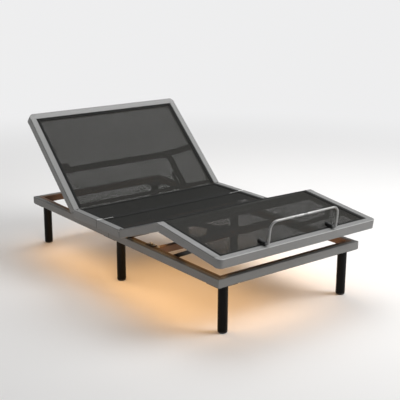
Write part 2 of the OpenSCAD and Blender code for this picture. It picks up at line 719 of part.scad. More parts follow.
base_rail_left_head();
base_rail_left_foot();
base_rail_right_head();
base_rail_right_foot();
base_rail_head_end();
base_rail_foot_end();
ledgers();
cross_members();
splice_plates();
leg_plates();
leg_left_head();
leg_left_mid();
leg_left_foot();
leg_right_head();
leg_right_mid();
leg_right_foot();
leg_glides();
frame_bolts();
led_strips();
control_box();
motor_brackets();
lift_bearings();
stay_anchors();
seat_rails_head();
seat_rails_foot();
seat_cross_rails();
seat_spacers();
seat_mesh_head();
seat_mesh_foot();
seam_leaves();
hinge_blocks();
hinge_pins();
head_rail_left();
head_rail_right();
head_rail_top();
head_rail_bottom();
head_mesh();
head_bow();
lift_rib();
torque_tube();
lift_arm();
lift_roller();
head_motor();
head_motor_rod();
leg_motor();
leg_motor_rod();
thigh_rails();
thigh_cross_rails();
thigh_mesh();
calf_rail_left();
calf_rail_right();
foot_rail();
calf_cross_rail();
calf_mesh();
knee_ears();
calf_brackets();
retainer_sleeves();
stay_left();
stay_right();
retainer_bar();
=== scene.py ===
import json
from math import cos, pi, radians, sin

import bmesh
import bpy
from mathutils import Matrix, Vector


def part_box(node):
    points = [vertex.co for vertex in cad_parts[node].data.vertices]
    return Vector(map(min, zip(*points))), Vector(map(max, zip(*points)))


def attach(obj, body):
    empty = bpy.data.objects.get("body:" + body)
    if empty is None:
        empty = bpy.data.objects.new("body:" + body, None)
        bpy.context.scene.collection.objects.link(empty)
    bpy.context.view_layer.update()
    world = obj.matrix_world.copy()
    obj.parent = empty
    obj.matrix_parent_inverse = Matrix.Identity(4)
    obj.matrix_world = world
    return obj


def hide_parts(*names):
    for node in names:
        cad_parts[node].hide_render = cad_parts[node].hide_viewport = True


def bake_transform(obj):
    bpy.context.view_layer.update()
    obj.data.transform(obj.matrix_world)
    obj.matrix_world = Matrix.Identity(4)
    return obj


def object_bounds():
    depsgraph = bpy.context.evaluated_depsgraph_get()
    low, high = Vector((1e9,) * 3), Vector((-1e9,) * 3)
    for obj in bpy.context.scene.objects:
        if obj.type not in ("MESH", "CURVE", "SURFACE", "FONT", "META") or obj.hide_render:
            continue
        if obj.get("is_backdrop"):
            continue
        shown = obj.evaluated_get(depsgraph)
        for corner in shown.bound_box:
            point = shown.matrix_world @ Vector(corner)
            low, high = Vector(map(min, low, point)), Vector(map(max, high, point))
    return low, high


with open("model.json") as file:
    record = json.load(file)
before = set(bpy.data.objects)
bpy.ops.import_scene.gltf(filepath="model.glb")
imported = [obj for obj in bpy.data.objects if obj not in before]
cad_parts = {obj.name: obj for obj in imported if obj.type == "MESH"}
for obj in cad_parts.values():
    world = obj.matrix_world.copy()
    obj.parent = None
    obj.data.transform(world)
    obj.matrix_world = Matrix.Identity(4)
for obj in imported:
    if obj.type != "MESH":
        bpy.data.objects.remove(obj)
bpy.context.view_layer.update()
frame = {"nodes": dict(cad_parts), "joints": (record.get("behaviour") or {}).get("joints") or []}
nodes = frame["nodes"]
joint_at = {joint["name"]: Vector(joint["pos_m"]) for joint in frame["joints"] if "pos_m" in joint}


# ---- Camera ----
# A standing viewer's eye at the bed's left foot corner, looking over the deck towards the raised head.
# Its place is given from the middle of the base frame's length.
scene = bpy.context.scene
base_mid_y = (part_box("base_rail_head_end")[1].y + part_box("base_rail_foot_end")[0].y) / 2
eye = Vector((-2.912, base_mid_y - 3.865, 1.764))
eye_yaw = radians(-38.17)
eye_pitch = radians(90 - 15.71)
eye_roll = radians(0.345)
camera = bpy.data.objects.new("camera", bpy.data.cameras.new("camera"))
camera.data.lens = 78.2
camera.data.sensor_width = 36
camera.data.clip_end = 200
eye_turn = Matrix.Rotation(eye_yaw, 4, "Z") @ Matrix.Rotation(eye_pitch, 4, "X")
eye_turn = eye_turn @ Matrix.Rotation(eye_roll, 4, "Z")
camera.matrix_world = Matrix.Translation(eye) @ eye_turn
scene.collection.objects.link(camera)
scene.camera = camera


# ---- Studio ----
# A plain pale floor that runs out of sight, even sky light, and soft boxes: the key stands to the
# front right, so the left sides of the rails stay in shade. The floor far away glows like a white wall.
def material(name, base, roughness, metallic=0.0):
    """A new material with one Principled shader; returns the material, its node tree and the shader."""
    made = bpy.data.materials.new(name)
    made.use_nodes = True
    tree = made.node_tree
    shader = tree.nodes["Principled BSDF"]
    shader.inputs["Base Color"].default_value = (*base, 1)
    shader.inputs["Roughness"].default_value = roughness
    shader.inputs["Metallic"].default_value = metallic
    return made, tree, shader


def add_node(tree, kind, **values):
    """A shader node with its unlinked inputs set by name."""
    node = tree.nodes.new(kind)
    for key, value in values.items():
        node.inputs[key.replace("_", " ")].default_value = value
    return node


def maths(tree, operation, *values, clamp=False):
    """A Math node whose inputs are sockets or numbers; returns its result."""
    node = tree.nodes.new("ShaderNodeMath")
    node.operation = operation
    node.use_clamp = clamp
    for socket, value in zip(node.inputs, values):
        if hasattr(value, "is_linked"):
            tree.links.new(value, socket)
        else:
            socket.default_value = value
    return node.outputs[0]


def blend_colour(tree, factor, a, b):
    """A colour between a and b, each a socket or a colour."""
    node = tree.nodes.new("ShaderNodeMix")
    node.data_type = "RGBA"
    for socket, value in ((node.inputs[0], factor), (node.inputs[6], a), (node.inputs[7], b)):
        if hasattr(value, "is_linked"):
            tree.links.new(value, socket)
        elif isinstance(value, (int, float)):
            socket.default_value = value
        else:
            socket.default_value = (*value, 1)
    return node.outputs[2]


def vector_maths(tree, operation, output, *values, **named):
    """A Vector Math node whose inputs are sockets or vectors; returns the output of that name."""
    node = tree.nodes.new("ShaderNodeVectorMath")
    node.operation = operation
    for key, value in [*enumerate(values), *named.items()]:
        if hasattr(value, "is_linked"):
            tree.links.new(value, node.inputs[key])
        else:
            node.inputs[key].default_value = value
    return node.outputs[output]


sky_strength = 0.215
sky_seen_extra = 0.64
scene.view_settings.view_transform = "Standard"
world = bpy.data.worlds.new("studio")
world.use_nodes = True
world.node_tree.nodes["Background"].inputs[0].default_value = (0.97, 0.985, 1, 1)
seen_directly = world.node_tree.nodes.new("ShaderNodeLightPath").outputs["Is Camera Ray"]
strength = maths(world.node_tree, "MULTIPLY_ADD", seen_directly, sky_seen_extra, sky_strength)
world.node_tree.links.new(strength, world.node_tree.nodes["Background"].inputs[1])
scene.world = world

floor_size = 60
floor_mesh = bmesh.new()
bmesh.ops.create_grid(floor_mesh, x_segments=8, y_segments=8, size=floor_size)
floor_data = bpy.data.meshes.new("floor")
floor_mesh.to_mesh(floor_data)
floor_object = bpy.data.objects.new("floor", floor_data)
scene.collection.objects.link(floor_object)
paper, tree, shader = material("studio_paper", (0.86, 0.85, 0.84), 0.9)
shader.inputs["Specular IOR Level"].default_value = 0.2
place = add_node(tree, "ShaderNodeTexCoord").outputs["Object"]
far = add_node(tree, "ShaderNodeMapRange", From_Min=1.4, From_Max=5.5)
far.interpolation_type = "SMOOTHSTEP"
tree.links.new(vector_maths(tree, "LENGTH", "Value", place), far.inputs["Value"])
glow = add_node(tree, "ShaderNodeEmission", Color=(0.855, 0.855, 0.86, 1), Strength=1.0)
mix = tree.nodes.new("ShaderNodeMixShader")
tree.links.new(far.outputs[0], mix.inputs[0])
tree.links.new(shader.outputs[0], mix.inputs[1])
tree.links.new(glow.outputs[0], mix.inputs[2])
tree.links.new(mix.outputs[0], tree.nodes["Material Output"].inputs[0])
floor_data.materials.append(paper)
floor_object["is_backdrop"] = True


def soft_box(name, at, aim, size, power, colour=(1, 1, 1)):
    """A rectangular studio light at a point, facing another."""
    lamp = bpy.data.lights.new(name, "AREA")
    lamp.shape = "RECTANGLE"
    lamp.size, lamp.size_y = size
    lamp.energy = power
    lamp.color = colour
    holder = bpy.data.objects.new(name, lamp)
    holder.location = at
    holder.rotation_mode = "QUATERNION"
    holder.rotation_quaternion = (Vector(aim) - Vector(at)).to_track_quat("-Z", "Y")
    scene.collection.objects.link(holder)


soft_box("key", (3.6, -3.2, 4.0), (0.3, -0.1, 0.2), (3.2, 3.2), 262)
soft_box("top", (1.2, 1.4, 4.6), (0.3, 0.4, 0), (3.6, 3.6), 140)


# ---- Base frame rails ----
# Rectangular steel tube, powder coated in satin grey. Each side is two lengths bolted end to end
# near the middle leg; the end rails are welded between them. The coat has a fine orange peel.
def shader_group(name, inputs, outputs):
    """An empty shader node group; inputs and outputs are (name, kind, value) rows."""
    group = bpy.data.node_groups.new(name, "ShaderNodeTree")
    for way, rows in (("INPUT", inputs), ("OUTPUT", outputs)):
        for label, kind, value in rows:
            socket = group.interface.new_socket(label, in_out=way, socket_type="NodeSocket" + kind)
            if way == "INPUT" and value is not None:
                socket.default_value = value
    start = group.nodes.new("NodeGroupInput")
    end = group.nodes.new("NodeGroupOutput")
    return group, start, end


def use_group(tree, group, **values):
    """Places a node group in a tree with its own values."""
    node = tree.nodes.new("ShaderNodeGroup")
    node.node_tree = group
    for key, value in values.items():
        node.inputs[key.replace("_", " ")].default_value = value
    return node


def noise(tree, vector, scale, detail=3.0, rough=0.5):
    """A noise texture's value at that scale, per metre."""
    node = add_node(tree, "ShaderNodeTexNoise", Scale=scale, Detail=detail, Roughness=rough)
    tree.links.new(vector, node.inputs["Vector"])
    return node.outputs["Fac"]


# Powder coat: slow shade changes, fine flecks, light dust on what faces up, and an orange peel
coat_group, start, end = shader_group(
    "coat",
    [("Color", "Color", (0.2, 0.2, 0.2, 1)), ("Roughness", "Float", 0.45), ("Flecks", "Float", 0.12),
     ("Dust", "Float", 0.1), ("Peel", "Float", 0.08)],
    [("Color", "Color", None), ("Roughness", "Float", None), ("Normal", "Vector", None)])
place = add_node(coat_group, "ShaderNodeTexCoord").outputs["Object"]
slow = noise(coat_group, place, 3.0, 4.0)
fine = noise(coat_group, place, 900.0, 2.0)
smudge = noise(coat_group, place, 14.0, 5.0, 0.62)
drift = maths(coat_group, "MULTIPLY_ADD", maths(coat_group, "SUBTRACT", slow, 0.5), 0.16, 1.0)
flecked = maths(coat_group, "SUBTRACT", fine, 0.5)
shade = maths(coat_group, "MULTIPLY_ADD", flecked, start.outputs["Flecks"], drift)
toned = vector_maths(coat_group, "SCALE", "Vector", start.outputs["Color"], Scale=shade)
facing = coat_group.nodes.new("ShaderNodeSeparateXYZ")
coat_group.links.new(add_node(coat_group, "ShaderNodeNewGeometry").outputs["Normal"], facing.inputs[0])
upward = maths(coat_group, "MAXIMUM", facing.outputs["Z"], 0.0)
settled = maths(coat_group, "MULTIPLY", upward, smudge)
dusty = maths(coat_group, "MULTIPLY", settled, start.outputs["Dust"], clamp=True)
coat_group.links.new(blend_colour(coat_group, dusty, toned, (0.42, 0.41, 0.39)), end.inputs["Color"])
uneven = maths(coat_group, "SUBTRACT", smudge, 0.5)
wavering = maths(coat_group, "MULTIPLY_ADD", uneven, 0.22, start.outputs["Roughness"])
coat_group.links.new(wavering, end.inputs["Roughness"])
peel = add_node(coat_group, "ShaderNodeBump", Distance=0.0004)
coat_group.links.new(noise(coat_group, place, 420.0, 2.0), peel.inputs["Height"])
coat_group.links.new(start.outputs["Peel"], peel.inputs["Strength"])
coat_group.links.new(peel.outputs["Normal"], end.inputs["Normal"])


def coat_parts(name, colour, roughness, flecks=0.12, dust=0.1, peel=0.1, metallic=0.0):
    """Painted, moulded or plated finish: the coat group wired to a shader, with its parts to build on."""
    made, tree, shader = material(name, colour, roughness, metallic)
    coat = use_group(tree, coat_group, Color=(*colour, 1), Roughness=roughness, Flecks=flecks, Dust=dust,
                     Peel=peel)
    tree.links.new(coat.outputs["Color"], shader.inputs["Base Color"])
    tree.links.new(coat.outputs["Roughness"], shader.inputs["Roughness"])
    tree.links.new(coat.outputs["Normal"], shader.inputs["Normal"])
    return made, tree, shader, coat


def coated(name, colour, roughness, **values):
    """The same finish as a material only."""
    return coat_parts(name, colour, roughness, **values)[0]


def finish_node(name, finish, bevel=0.0):
    """Gives a CAD node its finish, and breaks its sharp edges a little."""
    piece = nodes[name]
    piece.data.materials.clear()
    piece.data.materials.append(finish)
    if bevel:
        weld = piece.modifiers.new("weld", "WELD")
        weld.merge_threshold = 0.00002
        edge = piece.modifiers.new("broken edge", "BEVEL")
        edge.width = bevel
        edge.segments = 2
        edge.limit_method = "ANGLE"
        edge.angle_limit = radians(40)
        edge.harden_normals = True


base_grey = coated("base_grey_coat", (0.200, 0.198, 0.190), 0.42, flecks=0.10, dust=0.10)
for name in nodes:
    if name.startswith("base_rail"):
        finish_node(name, base_grey)


# ---- Ledgers and cross members ----
# Steel angle along the inside of the base rails, and three tubes across, in a matt bronze-brown
# primer-like paint. The light strips under the deck warm their faces.
brown_paint = coated("brown_paint", (0.19, 0.105, 0.06), 0.6, flecks=0.16, dust=0.08, peel=0.2)
for name in ("ledgers", "cross_members"):
    finish_node(name, brown_paint)


# ---- Legs ----
# Six straight steel tubes in a smooth black coat, screwed up into plates under the base rails.
# A turned collar with a fine groove covers the thread at the top of each.
def add_piece(name, mesh, body, finish, stands_for=(), smooth=35):
    """Turns a bmesh into a finished piece that rides on a body; edges sharper than smooth stay crisp."""
    data = bpy.data.meshes.new(name)
    bmesh.ops.recalc_face_normals(mesh, faces=mesh.faces)
    mesh.to_mesh(data)
    mesh.free()
    piece = bpy.data.objects.new(name, data)
    scene.collection.objects.link(piece)
    data.materials.append(finish)
    data.shade_smooth()
    if smooth:
        data.set_sharp_from_angle(angle=radians(smooth))
    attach(piece, body)
    if stands_for:
        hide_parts(*stands_for)
    return piece


def lathe(mesh, profile, steps=48, place=Matrix.Identity(4)):
    """Turns (radius, height) points round Z into mesh, at a place. A radius of 0 closes the end, and
    a third number gives a ring that many flats."""
    rings = []
    for radius, height, *flats in profile:
        if radius == 0:
            rings.append([mesh.verts.new(place @ Vector((0, 0, height)))] * steps)
            continue
        ring = []
        for i in range(steps):
            angle = 2 * pi * i / steps
            reach = radius
            if flats:
                reach /= cos(angle % (2 * pi / flats[0]) - pi / flats[0])
            ring.append(mesh.verts.new(place @ Vector((reach * cos(angle), reach * sin(angle), height))))
        rings.append(ring)
    for low, high in zip(rings, rings[1:]):
        for i in range(steps):
            j = (i + 1) % steps
            corners = [low[i], low[j], high[j], high[i]]
            unique = [v for k, v in enumerate(corners) if v not in corners[:k]]
            mesh.faces.new(unique)


black_coat, tree, shader, coat = coat_parts("leg_black_coat", (0.0035, 0.0035, 0.003), 0.45, flecks=0.25,
                                            dust=0.01, peel=0.06)
shader.inputs["Specular IOR Level"].default_value = 0.13
glide_grip = coated("glide_moulding", (0.02, 0.02, 0.02), 0.55, flecks=0.2, dust=0.02, peel=0.3)
collar = 0.020
groove = 0.0012
glides = bmesh.new()
for name in [name for name in nodes if name.startswith(("leg_left", "leg_right"))]:
    low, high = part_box(name)
    radius = (high.x - low.x) / 2
    foot = Matrix.Translation(((low.x + high.x) / 2, (low.y + high.y) / 2, 0))
    seam_z = high.z - collar
    leg = bmesh.new()
    lathe(leg, [(0, low.z), (radius - 0.0015, low.z), (radius, low.z + 0.0015), (radius, seam_z),
                (radius - groove, seam_z + 0.0008), (radius - groove, seam_z + 0.0022),
                (radius, seam_z + 0.003), (radius, high.z - 0.001), (radius - 0.001, high.z), (0, high.z)],
          64, foot)
    add_piece(name + "_tube", leg, "base", black_coat, [name])
    lathe(glides, [(0, 0), (radius - 0.008, 0), (radius - 0.0045, 0.0008), (radius - 0.002, 0.003),
                   (radius - 0.001, 0.0055), (radius - 0.001, low.z), (0, low.z)], 64, foot)
add_piece("leg_glide_pads", glides, "base", glide_grip, ["leg_glides"])


# ---- Light strips ----
# Amber light strips on the underside of the base rails: a soft diffuser in a slim black channel. What
# they throw on the floor comes from soft lights of the same colour, and a little is caught inside.
diffuser, tree, shader = material("amber_diffuser", (0.95, 0.7, 0.42), 0.5)
place = add_node(tree, "ShaderNodeTexCoord").outputs["Object"]
dots = tree.nodes.new("ShaderNodeTexWave")
dots.inputs["Scale"].default_value = 9.0
dots.inputs["Distortion"].default_value = 0.4
tree.links.new(place, dots.inputs["Vector"])
faces = tree.nodes.new("ShaderNodeSeparateXYZ")
tree.links.new(add_node(tree, "ShaderNodeNewGeometry").outputs["Normal"], faces.inputs[0])
downward = maths(tree, "MULTIPLY", faces.outputs["Z"], -1.0, clamp=True)
lit = blend_colour(tree, dots.outputs["Fac"], (1.0, 0.47, 0.13), (1.0, 0.62, 0.26))
tree.links.new(blend_colour(tree, downward, (0, 0, 0), lit), shader.inputs["Emission Color"])
tree.links.new(blend_colour(tree, downward, (0.03, 0.03, 0.03), (0.9, 0.7, 0.45)),
               shader.inputs["Base Color"])
shader.inputs["Emission Strength"].default_value = 4.0
finish_node("led_strips", diffuser)
amber = (1.0, 0.56, 0.22)
strip_low, strip_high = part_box("led_strips")
strip_x = strip_high.x - 0.005
strip_z = strip_low.z - 0.003
for side, power in ((-1, 1.6), (1, 1.05)):
    at = (side * strip_x, base_mid_y, strip_z)
    soft_box("glow along the side", at, (side * strip_x, base_mid_y, 0), (0.02, 1.6), power, amber)
for y, power in ((strip_low.y + 0.005, 0.3), (strip_high.y - 0.005, 0.1)):
    soft_box("glow across the end", (-0.1, y, strip_z), (-0.1, y, 0), (0.6, 0.02), power, amber)
middle_x = -0.15
middle_y = base_mid_y - 0.3
soft_box("glow under the middle", (middle_x, middle_y, strip_z - 0.03), (middle_x, middle_y, 0), (0.4, 1.0),
         1.1, amber)
ledger_y = base_mid_y - 0.1
for side in (-1, 1):
    at = (side * (strip_x - 0.09), ledger_y, strip_z + 0.075)
    aim = (side * (strip_x - 0.02), ledger_y, strip_z + 0.03)
    soft_box("glow on the ledger", at, aim, (1.5, 0.02), 0.28, amber)


# ---- Plates and bolts ----
# Black plates carry the legs and join the side rails; zinc-plated button-head bolts with a hex
# socket hold them. Each bolt head is a dome on a thin washer.
black_plate = coated("black_plate", (0.010, 0.010, 0.010), 0.5, flecks=0.2, dust=0.02, peel=0.12)
for name in ("splice_plates", "leg_plates", "motor_brackets", "lift_bearings", "stay_anchors",
             "calf_brackets"):
    finish_node(name, black_plate, 0.0007)
zinc = coated("zinc_plate", (0.62, 0.61, 0.58), 0.3, flecks=0.25, dust=0.02, metallic=1.0)
finish_node("frame_bolts", zinc)
finish_node("hinge_pins", zinc, 0.0004)


def solids_of(piece):
    """The box (low, high) of each separate solid in a CAD node."""
    mesh = bmesh.new()
    mesh.from_mesh(piece.data)
    mesh.transform(piece.matrix_world)
    bmesh.ops.remove_doubles(mesh, verts=mesh.verts, dist=0.00001)
    seen = set()
    boxes = []
    for first in mesh.verts:
        if first in seen:
            continue
        seen.add(first)
        group = [first]
        for vert in group:
            for edge in vert.link_edges:
                other = edge.other_vert(vert)
                if other not in seen:
                    seen.add(other)
                    group.append(other)
        points = [vert.co for vert in group]
        boxes.append((Vector([min(p[i] for p in points) for i in range(3)]),
                      Vector([max(p[i] for p in points) for i in range(3)])))
    mesh.free()
    return boxes


def block(mesh, low, high, rounding, place=Matrix.Identity(4)):
    """A box with rounded edges, added to mesh at a place."""
    size = Vector(high) - Vector(low)
    middle = (Vector(high) + Vector(low)) / 2
    made = bmesh.ops.create_cube(mesh, size=1.0)
    bmesh.ops.scale(mesh, vec=size, verts=made["verts"])
    edges = list(dict.fromkeys(edge for vert in made["verts"] for edge in vert.link_edges))
    rounded = bmesh.ops.bevel(mesh, geom=edges + made["verts"], offset=rounding, segments=3, profile=0.5,
                              affect="EDGES")
    corners = list({vert for face in rounded["faces"] for vert in face.verts})
    bmesh.ops.transform(mesh, matrix=place @ Matrix.Translation(middle), verts=corners)


def bolt_head(mesh, place, radius, base, top):
    """Button head with a hex socket, from a base height to its top."""
    socket = radius * 0.42
    lathe(mesh, [(radius, base), (radius, base + 0.0012), (radius * 0.93, base + 0.0024),
                 (radius * 0.78, top - 0.0006), (radius * 0.6, top), (socket + 0.0004, top),
                 (socket, top - 0.0003, 6), (socket, top - 0.0022, 6), (0, top - 0.0028)], 36, place)


washer_height = 0.0015
button_radius = 0.0065
face_down = Matrix.Rotation(pi, 4, "X")
bolts = bmesh.new()
under_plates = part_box("leg_plates")[0].z + 0.0001
for low, high in solids_of(nodes["frame_bolts"]):
    centre = (low + high) / 2
    size = high - low
    if size.x < size.y:
        inward = -1 if centre.x > 0 else 1
        start_x = high.x if inward < 0 else low.x
        place = Matrix.Translation((start_x, centre.y, centre.z)) @ Matrix.Rotation(inward * pi / 2, 4, "Y")
        bolt_head(bolts, place, size.y / 2, 0, size.x)
        continue
    place = Matrix.Translation((centre.x, centre.y, low.z))
    if high.z < under_plates:
        place = Matrix.Translation((centre.x, centre.y, high.z)) @ face_down
    washer = size.x / 2
    lathe(bolts, [(washer * 0.5, 0), (washer - 0.0003, 0), (washer, 0.0003), (washer, 0.0012),
                  (washer - 0.0003, washer_height), (washer * 0.7, washer_height)], 36, place)
    bolt_head(bolts, place, button_radius, washer_height, size.z)
add_piece("bolt_heads", bolts, "base", zinc, ["frame_bolts"], 25)

# Black rubber fills the joint between the two lengths of each side rail, a little below their faces
rubber_inset = 0.0006
rubber_squeeze = 0.0005
seal_rubber = coated("seal_rubber", (0.008, 0.008, 0.008), 0.7, flecks=0.2, dust=0.02, peel=0.2)
rubber = bmesh.new()
for side in ("left", "right"):
    rail_low, rail_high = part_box("base_rail_" + side + "_head")
    foot_half_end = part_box("base_rail_" + side + "_foot")[1].y
    block(rubber,
          (rail_low.x + rubber_inset, foot_half_end - rubber_squeeze, rail_low.z + rubber_inset),
          (rail_high.x - rubber_inset, rail_low.y + rubber_squeeze, rail_high.z - rubber_inset), 0.0003)
add_piece("base_joint_rubber", rubber, "base", seal_rubber)


# ---- Deck rails ----
# Deep rectangular tube in satin grey. The top face carries a fine ribbed grip: ribs run along the
# rails at the head and seat, and across them on the thigh, calf and foot.
head_tilt = radians(43.4)
thigh_tilt = radians(-20.0)
calf_tilt = radians(7.1)
deck_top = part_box("seat_rails_head")[1].z
hinge_drop = deck_top - joint_at["head_lift"].z
rail_depth = deck_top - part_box("seat_rails_head")[0].z
half_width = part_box("head_rail_top")[1].x
rail_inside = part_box("head_rail_bottom")[1].x
rail_width = half_width - rail_inside

# Ribs: a rounded wave along Direction, only where the surface faces Face
rib_group, start, end = shader_group(
    "ribs", [("Direction", "Vector", (1, 0, 0)), ("Face", "Vector", (0, 0, 1)), ("Pitch", "Float", 0.004)],
    [("Height", "Float", None), ("Mask", "Float", None), ("Edge", "Float", None)])
place = add_node(rib_group, "ShaderNodeTexCoord")
along = vector_maths(rib_group, "DOT_PRODUCT", "Value", place.outputs["Object"], start.outputs["Direction"])
turns = maths(rib_group, "MULTIPLY", maths(rib_group, "DIVIDE", along, start.outputs["Pitch"]), 2 * pi)
wave = maths(rib_group, "MULTIPLY_ADD", maths(rib_group, "SINE", turns), 0.5, 0.5)
leaning = vector_maths(rib_group, "DOT_PRODUCT", "Value", place.outputs["Normal"], start.outputs["Face"])
mask = maths(rib_group, "MULTIPLY_ADD", leaning, 20.0, -19.0, clamp=True)
rib_group.links.new(maths(rib_group, "MULTIPLY", wave, mask), end.inputs["Height"])
rib_group.links.new(mask, end.inputs["Mask"])
# Edge: the band where the rounded edge turns from the face to the side; it carries a painted dark line
rim = add_node(rib_group, "ShaderNodeMapRange", From_Min=0.25, From_Max=0.55)
rib_group.links.new(leaning, rim.inputs["Value"])
rib_group.links.new(maths(rib_group, "SUBTRACT", rim.outputs[0], mask, clamp=True), end.inputs["Edge"])


deck_grey = (0.212, 0.211, 0.206)
# Colour of a painted highlight along the foot rail's outer top edge
painted_highlight_grey = (0.42, 0.42, 0.41)


def ribbed(name, direction, face, pitch, edge_shade=0.75, highlight_way=None, depth=0.00045):
    """Deck coat with the ribbed grip on one face: paler there, with painted shade between the ribs and a
    painted dark line along its edge. The sixth argument points towards an edge that gets a painted highlight."""
    made, tree, shader, coat = coat_parts(name, deck_grey, 0.40, flecks=0.10)
    ribs = use_group(tree, rib_group, Direction=direction, Face=face, Pitch=pitch)
    # Painted shade: the hollows between the ribs are darkened in colour, on top of the bump
    painted_rib_shade = maths(tree, "SUBTRACT", ribs.outputs["Mask"], ribs.outputs["Height"])
    groove = maths(tree, "MULTIPLY", painted_rib_shade, 0.5)
    # Painted shade: a dark line along the rounded edge, standing in for the dark that the edge reflects
    edge = maths(tree, "MULTIPLY", ribs.outputs["Edge"], edge_shade)
    coat_and_edge_shade = blend_colour(tree, edge, coat.outputs["Color"], (0.03, 0.03, 0.03))
    pale = blend_colour(tree, ribs.outputs["Mask"], coat_and_edge_shade, (0.31, 0.31, 0.305))
    finish = blend_colour(tree, groove, pale, (0.05, 0.05, 0.05))
    # Painted highlight: a pale band of the top face along the outer edge, where the edge catches the light
    if highlight_way:
        reach = max(vert.co.dot(Vector(highlight_way)) for vert in nodes["foot_rail"].data.vertices)
        painted_highlight_band = add_node(tree, "ShaderNodeMapRange", From_Min=reach - 0.0075, From_Max=reach - 0.0055)
        place = add_node(tree, "ShaderNodeTexCoord").outputs["Object"]
        tree.links.new(vector_maths(tree, "DOT_PRODUCT", "Value", place, highlight_way), painted_highlight_band.inputs["Value"])
        top_and_edge = maths(tree, "ADD", ribs.outputs["Mask"], ribs.outputs["Edge"])
        finish = blend_colour(tree, maths(tree, "MULTIPLY", painted_highlight_band.outputs[0], top_and_edge), finish, painted_highlight_grey)
    tree.links.new(finish, shader.inputs["Base Color"])
    bump = add_node(tree, "ShaderNodeBump", Strength=0.8, Distance=depth)
    tree.links.new(ribs.outputs["Height"], bump.inputs["Height"])
    tree.links.new(coat.outputs["Normal"], bump.inputs["Normal"])
    tree.links.new(bump.outputs["Normal"], shader.inputs["Normal"])
    return made


def turned(tilt, vector):
    """A direction in the flat deck, turned with a section's tilt."""
    return tuple(Matrix.Rotation(tilt, 3, "X") @ Vector(vector))


rib_pitch = 0.0055
cross_pitch = 0.0048
foot_pitch = 0.0135
sideways = (1, 0, 0)
lengthways = (0, 1, 0)
upwards = (0, 0, 1)
head_up, thigh_up, calf_up = (turned(tilt, upwards) for tilt in (head_tilt, thigh_tilt, calf_tilt))
head_side_coat = ribbed("head_rail_coat", sideways, head_up, rib_pitch)
head_top_coat = ribbed("head_top_coat", turned(head_tilt, lengthways), head_up, rib_pitch, 0.3)
seat_coat = ribbed("seat_rail_coat", sideways, upwards, rib_pitch)
thigh_coat = ribbed("thigh_rail_coat", turned(thigh_tilt, lengthways), thigh_up, cross_pitch)
calf_coat = ribbed("calf_rail_coat", turned(calf_tilt, lengthways), calf_up, cross_pitch)
foot_coat = ribbed("foot_rail_coat", sideways, calf_up, foot_pitch, 0.0, turned(calf_tilt, (0, -1, 0)))
plain_coat = coated("plain_rail_coat", deck_grey, 0.40, flecks=0.10, dust=0.08)
for finish, names in (
        (head_side_coat, ["head_rail_left", "head_rail_right"]),
        (head_top_coat, ["head_rail_top"]),
        (seat_coat, ["seat_rails_head", "seat_rails_foot"]),
        (thigh_coat, ["thigh_rails"]),
        (calf_coat, ["calf_rail_left", "calf_rail_right"]),
        (foot_coat, ["foot_rail"]),
        (plain_coat, ["hinge_blocks", "knee_ears"])):
    for name in names:
        finish_node(name, finish, 0.003 if name == "foot_rail" else 0.0015)


# ---- Deck cross rails ----
# Shallow black tubes welded between the side rails, just under the mesh; each mesh panel is held
# over them. The thigh's first one carries the lug that the leg motor pushes.
cross_black = coated("cross_rail_paint", (0.035, 0.033, 0.031), 0.5, flecks=0.2, dust=0.12, peel=0.15)
for name in ("seat_cross_rails", "head_rail_bottom", "thigh_cross_rails", "calf_cross_rail"):
    finish_node(name, cross_black)
spacer_nylon = coated("spacer_nylon", (0.03, 0.03, 0.03), 0.55, flecks=0.2, dust=0.1, peel=0.3)
finish_node("seat_spacers", spacer_nylon, 0.0015)


# ---- Mesh panels ----
# Open sling fabric of coated polyester yarn, stretched between the rails and held at its edges by a
# sewn hem. One panel for the head, two for the seat, and one that runs from thigh to calf over the knee.
yarn_pitch = 0.0021
weave_group, start, end = shader_group(
    "sling_weave", [("Pitch", "Float", yarn_pitch), ("Open", "Float", 0.4)],
    [("Height", "Float", None), ("Cover", "Float", None), ("Tone", "Float", None)])
uv = add_node(weave_group, "ShaderNodeTexCoord").outputs["UV"]
split = weave_group.nodes.new("ShaderNodeSeparateXYZ")
weave_group.links.new(uv, split.inputs[0])
yarns = []
for axis in ("X", "Y"):
    turns = maths(weave_group, "DIVIDE", split.outputs[axis], start.outputs["Pitch"])
    swell = maths(weave_group, "SINE", maths(weave_group, "MULTIPLY", turns, 2 * pi))
    yarns.append(maths(weave_group, "MULTIPLY_ADD", swell, 0.5, 0.5))
raised = maths(weave_group, "MAXIMUM", yarns[0], yarns[1])
weave_group.links.new(raised, end.inputs["Height"])
streaks = add_node(weave_group, "ShaderNodeMapping")
streaks.inputs["Scale"].default_value = (3.2, 1.0, 1.0)
weave_group.links.new(uv, streaks.inputs["Vector"])
mottle = noise(weave_group, streaks.outputs[0], 48.0, 3.0, 0.65)
weave_group.links.new(maths(weave_group, "MULTIPLY_ADD", mottle, 1.6, 0.2), end.inputs["Tone"])
slack = maths(weave_group, "MULTIPLY", mottle, 2.0)
gap = maths(weave_group, "MULTIPLY", slack, start.outputs["Open"])
weave_group.links.new(maths(weave_group, "GREATER_THAN", raised, gap), end.inputs["Cover"])


